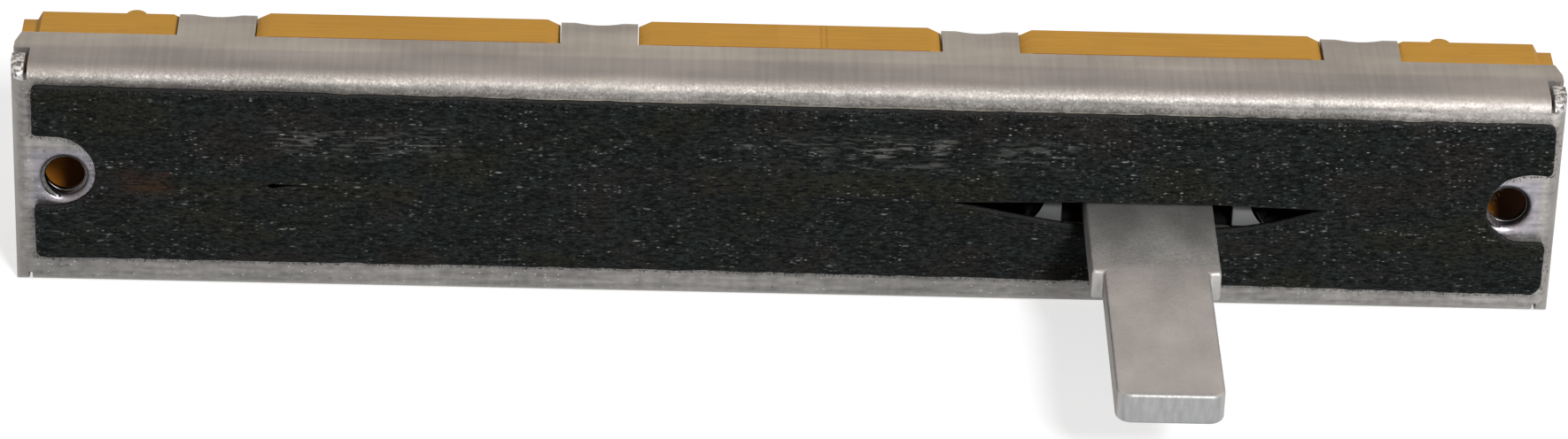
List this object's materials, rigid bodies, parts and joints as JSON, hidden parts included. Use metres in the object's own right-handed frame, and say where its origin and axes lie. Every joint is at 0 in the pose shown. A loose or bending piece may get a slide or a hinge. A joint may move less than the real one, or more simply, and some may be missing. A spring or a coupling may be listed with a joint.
{
  "type": "slide potentiometer",
  "caption": "Slim slide potentiometer: folded steel case with a slit dust felt, flat lever on a sliding carriage, brown resistor board held by folded tabs at the back.",
  "frame": {"origin": "middle of the two screw holes, on the outer surface of the front face", "axes": "+X along the lever's travel, -Y out of the front face as the lever points, +Z across the case: the pot lies on its lower long wall as in the picture"},
  "size_m": [0.06, 0.0232, 0.0094],
  "materials": {
    "plated_steel": "satin plated sheet",
    "lever_metal": "dull tumbled plating",
    "black_felt": "pressed felt",
    "adhesive_film": "thin film",
    "grey_plastic": "moulded",
    "spring_bronze": "bright strip",
    "phenolic_paper": "punched laminate",
    "carbon_print": "printed ink",
    "silver_print": "printed silver",
    "tinned_brass": "tin plated"
  },
  "bodies": {
    "housing": {"case": "plated_steel", "dust_felt": "black_felt", "felt_adhesive": "adhesive_film", "board": "phenolic_paper", "resistive_track": "carbon_print", "collector_track": "carbon_print", "electrode_1": "silver_print", "electrode_2": "silver_print", "electrode_3": "silver_print", "terminal_1": "tinned_brass", "terminal_2": "tinned_brass", "terminal_3": "tinned_brass", "eyelet_1": "tinned_brass", "eyelet_2": "tinned_brass", "eyelet_3": "tinned_brass"},
    "slider": {"carriage": "grey_plastic", "lever": "lever_metal", "wiper": "spring_bronze"}
  },
  "joints": [
    {"name": "lever_slide", "type": "slide", "parent": "housing", "child": "slider", "axis": [1, 0, 0], "range_m": [-0.0355, 0.0075], "deforming": ["dust_felt"]}
  ]
}
